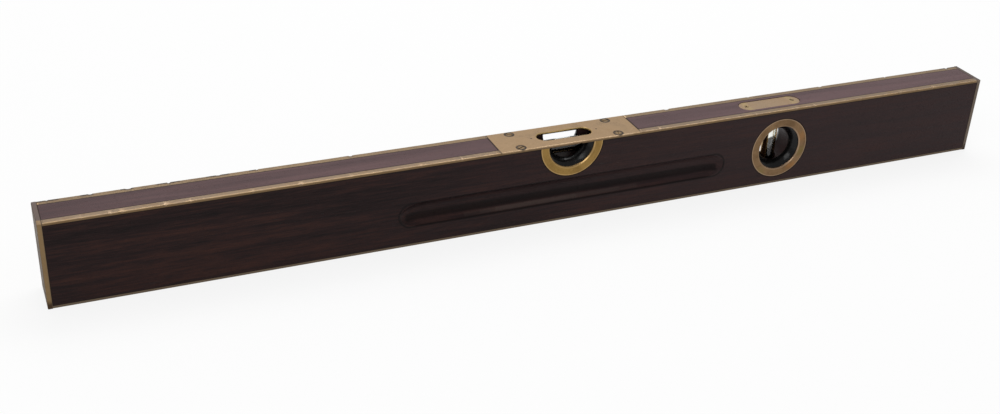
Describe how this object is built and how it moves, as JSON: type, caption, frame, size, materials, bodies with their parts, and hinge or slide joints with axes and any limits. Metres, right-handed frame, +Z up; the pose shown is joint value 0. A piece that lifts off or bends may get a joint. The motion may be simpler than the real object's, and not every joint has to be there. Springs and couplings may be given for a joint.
{
  "type": "spirit level",
  "caption": "brass-bound rosewood plumb and level with solid brass ends, a top plate over a hinged level vial, a side port beside it and a through port with a plumb vial",
  "frame": {"origin": "the middle of the underside, where the level stands", "axes": "+X along the length towards the plumb vial's end, -Y out of the face that the picture shows, +Z up through the top plate"},
  "size_m": [0.762, 0.0308, 0.0651],
  "materials": {
    "rosewood": "old waxed dark rosewood, fine open grain",
    "brass": "aged brass, brown patina in the seams, rubbed bright on the edges",
    "black_lacquer": "gloss black japanned sheet brass",
    "glass": "clear drawn glass",
    "spirit": "clear pale yellow-green spirit",
    "plaster": "plaster of Paris",
    "steel": "plain steel, slightly darkened"
  },
  "bodies": {
    "stock": {"wooden_stock": "rosewood", "binding_rod_top_front": "brass", "binding_rod_top_rear": "brass", "binding_rod_bottom_front": "brass", "binding_rod_bottom_rear": "brass", "end_plate_left": "brass", "end_plate_right": "brass", "end_plate_screws": "brass", "top_plate": "brass", "top_plate_screws": "brass", "plumb_cover_plate": "brass", "plumb_cover_screws": "brass", "level_port_ring_front": "brass", "level_port_ring_rear": "brass", "plumb_port_ring_front": "brass", "plumb_port_ring_rear": "brass", "level_port_liner_front": "black_lacquer", "level_port_liner_rear": "black_lacquer", "plumb_port_liner_front": "black_lacquer", "plumb_port_liner_rear": "black_lacquer", "level_hinge_bracket": "brass", "level_hinge_pin": "steel", "level_adjuster_foot": "brass", "level_adjusting_spring": "steel", "plumb_hinge_bracket": "brass", "plumb_hinge_pin": "steel", "plumb_adjuster_foot": "brass", "plumb_adjusting_spring": "steel", "hinge_bracket_screws": "steel", "adjuster_foot_screws": "steel"},
    "level_vial": {"level_vial_tube": "brass", "level_vial_hinge_end": "brass", "level_vial_lug_end": "brass", "level_vial_glass": "glass", "level_vial_spirit": "spirit", "level_vial_plaster": "plaster"},
    "level_adjuster": {"level_adjusting_screw": "brass"},
    "plumb_vial": {"plumb_vial_tube": "brass", "plumb_vial_arm": "brass", "plumb_vial_glass": "glass", "plumb_vial_spirit": "spirit", "plumb_vial_plaster": "plaster"},
    "plumb_adjuster": {"plumb_adjusting_screw": "brass"}
  },
  "joints": [
    {"name": "level_screw_turn", "type": "hinge", "parent": "stock", "child": "level_adjuster", "pos_m": [0.038, 0, 0.0565], "axis": [0, 0, -1], "range_deg": [-720, 720]},
    {"name": "level_vial_tilt", "type": "hinge", "parent": "stock", "child": "level_vial", "pos_m": [-0.038, 0, 0.0566], "axis": [0, -1, 0], "range_deg": [-0.75, 0.75], "deforming": ["level_adjusting_spring"]},
    {"name": "plumb_screw_turn", "type": "hinge", "parent": "stock", "child": "plumb_adjuster", "pos_m": [0.1712, 0, 0.0575], "axis": [0, 0, -1], "range_deg": [-360, 360]},
    {"name": "plumb_vial_tilt", "type": "hinge", "parent": "stock", "child": "plumb_vial", "pos_m": [0.1958, 0, 0.0576], "axis": [0, 1, 0], "range_deg": [-1.16, 1.16], "deforming": ["plumb_adjusting_spring"]}
  ],
  "couplings": [
    {"joint": "level_screw_turn", "follows": "level_vial_tilt", "ratio": 955.04},
    {"joint": "plumb_screw_turn", "follows": "plumb_vial_tilt", "ratio": 309.13}
  ]
}
